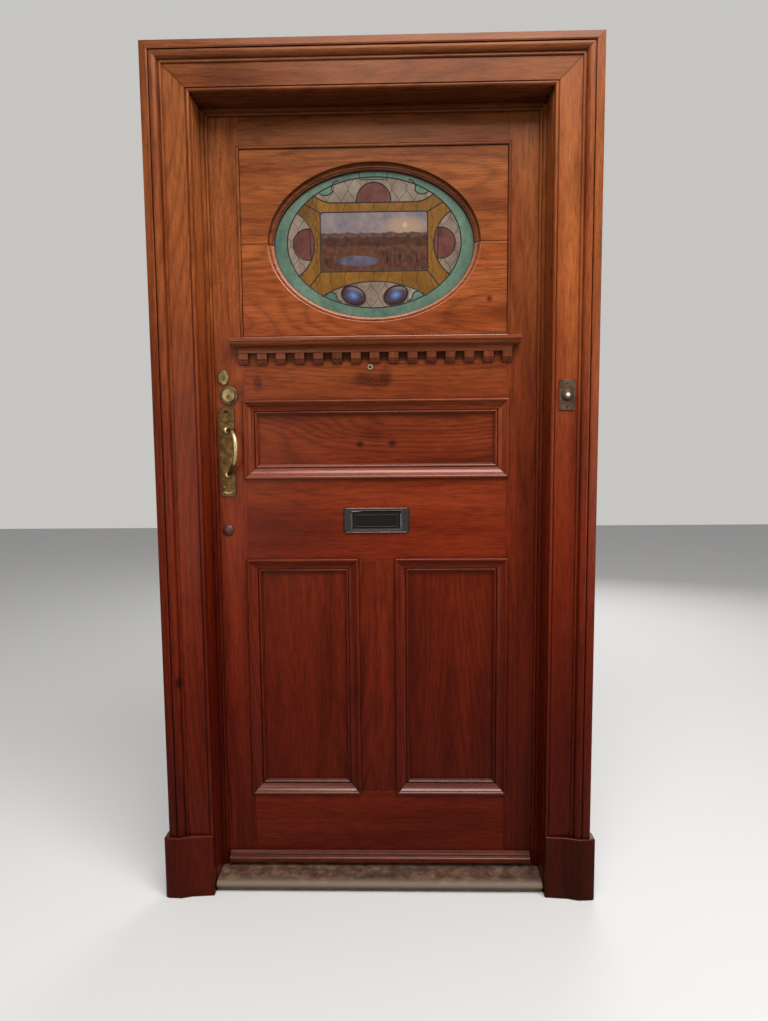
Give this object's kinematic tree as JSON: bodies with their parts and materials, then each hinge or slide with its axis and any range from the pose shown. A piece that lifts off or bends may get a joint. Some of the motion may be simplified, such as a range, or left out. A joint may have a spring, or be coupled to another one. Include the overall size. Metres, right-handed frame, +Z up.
{
  "type": "panelled front door with frame",
  "caption": "Varnished timber front door of about 1900 with leaded oval light, dentil shelf, moulded panels and brass door furniture, hung in its moulded frame with architraves and sill.",
  "frame": {"origin": "middle of the sill's underside, in the plane of the wall face; the floor line outside", "axes": "+X to the right seen from outside, +Y into the house, +Z up"},
  "size_m": [1.202, 0.201, 2.2925],
  "materials": {
    "frame_wood": "old red-brown varnish",
    "leaf_wood": "old red-brown varnish",
    "panel_wood": "old red-brown varnish",
    "sill_wood": "worn, grey-brown",
    "lead": "dull oxidised lead",
    "brass": "tarnished",
    "dark_brass": "dark brown patina",
    "lock_steel": "plain",
    "pearl": "polished pearl",
    "glass_teal": "textured green-blue",
    "glass_amber": "streaky amber",
    "glass_pale": "pale obscured",
    "glass_rose": "rose, swirled",
    "glass_blue": "blue domed jewels",
    "glass_centre": "painted and fired"
  },
  "bodies": {
    "frame": {"jamb_left": "frame_wood", "jamb_right": "frame_wood", "jamb_head": "frame_wood", "door_stops": "frame_wood", "architrave_left": "frame_wood", "architrave_right": "frame_wood", "architrave_head": "frame_wood", "plinth_left": "frame_wood", "plinth_right": "frame_wood", "sill": "sill_wood", "latch_keeper": "dark_brass", "lock_strike": "brass", "frame_hinge_leaves": "brass", "hinge_pins": "brass", "bell_plate": "dark_brass"},
    "leaf": {"hinge_stile": "leaf_wood", "lock_stile": "leaf_wood", "top_rail": "leaf_wood", "shelf_rail": "leaf_wood", "letter_rail": "leaf_wood", "bottom_rail": "leaf_wood", "muntin": "leaf_wood", "oval_board_upper": "panel_wood", "oval_board_lower": "panel_wood", "middle_panel": "panel_wood", "lower_panel_left": "panel_wood", "lower_panel_right": "panel_wood", "oval_panel_bead": "leaf_wood", "middle_moulding": "leaf_wood", "lower_moulding_left": "leaf_wood", "lower_moulding_right": "leaf_wood", "shelf_moulding": "leaf_wood", "dentils": "leaf_wood", "weather_bar": "leaf_wood", "glazing_bead": "leaf_wood", "lead_came": "lead", "glass_teal": "glass_teal", "glass_amber": "glass_amber", "glass_pale": "glass_pale", "glass_rose": "glass_rose", "glass_jewels": "glass_blue", "glass_centre": "glass_centre", "letter_plate": "dark_brass", "door_viewer": "brass", "latch_cylinder": "brass", "latch_case": "dark_brass", "deadlock_case": "lock_steel", "deadlock_cylinder": "brass", "pull_handle": "brass", "round_boss": "dark_brass", "leaf_hinge_leaves": "brass"},
    "bell": {"bell_button": "pearl"},
    "flap": {"letter_flap": "dark_brass"},
    "night_latch_plug": {"latch_plug": "brass"},
    "night_latch_knob": {"latch_knob": "brass"},
    "night_latch_bolt": {"latch_bolt": "brass"},
    "night_latch_snib": {"latch_snib": "brass"},
    "lock_plug": {"deadlock_plug": "brass"},
    "lock_bolt": {"deadlock_bolt": "brass"}
  },
  "joints": [
    {"name": "leaf_hinge", "type": "hinge", "parent": "frame", "child": "leaf", "pos_m": [0.46175, 0.1271, 1.1], "axis": [0, 0, -1], "range_deg": [0, 100]},
    {"name": "letter_flap_hinge", "type": "hinge", "parent": "leaf", "child": "flap", "pos_m": [0, 0.0745, 1.0799], "axis": [1, 0, 0], "range_deg": [0, 75], "stiffness_Nm_per_rad": 0.05, "springref_deg": -11.46},
    {"name": "latch_knob_turn", "type": "hinge", "parent": "leaf", "child": "night_latch_knob", "pos_m": [-0.408, 0.14, 1.405], "axis": [0, 1, 0], "range_deg": [0, 60]},
    {"name": "latch_bolt_slide", "type": "slide", "parent": "leaf", "child": "night_latch_bolt", "axis": [-1, 0, 0], "range_m": [0, 0.015]},
    {"name": "latch_snib_slide", "type": "slide", "parent": "leaf", "child": "night_latch_snib", "axis": [1, 0, 0], "range_m": [0, 0.008]},
    {"name": "latch_plug_turn", "type": "hinge", "parent": "leaf", "child": "night_latch_plug", "pos_m": [-0.408, 0.09, 1.405], "axis": [0, -1, 0], "range_deg": [0, 90]},
    {"name": "deadlock_plug_turn", "type": "hinge", "parent": "leaf", "child": "lock_plug", "pos_m": [-0.422, 0.085, 1.459], "axis": [0, -1, 0], "range_deg": [0, 270]},
    {"name": "deadlock_bolt_slide", "type": "slide", "parent": "leaf", "child": "lock_bolt", "axis": [-1, 0, 0], "range_m": [0, 0.018]},
    {"name": "bell_press", "type": "slide", "parent": "frame", "child": "bell", "axis": [0, 1, 0], "range_m": [0, 0.0025], "stiffness_N_per_m": 400, "springref_m": -0.0005}
  ],
  "couplings": [
    {"joint": "latch_knob_turn", "follows": "latch_bolt_slide", "rad_per_m": 69.8},
    {"joint": "deadlock_plug_turn", "follows": "deadlock_bolt_slide", "rad_per_m": 261.7}
  ]
}
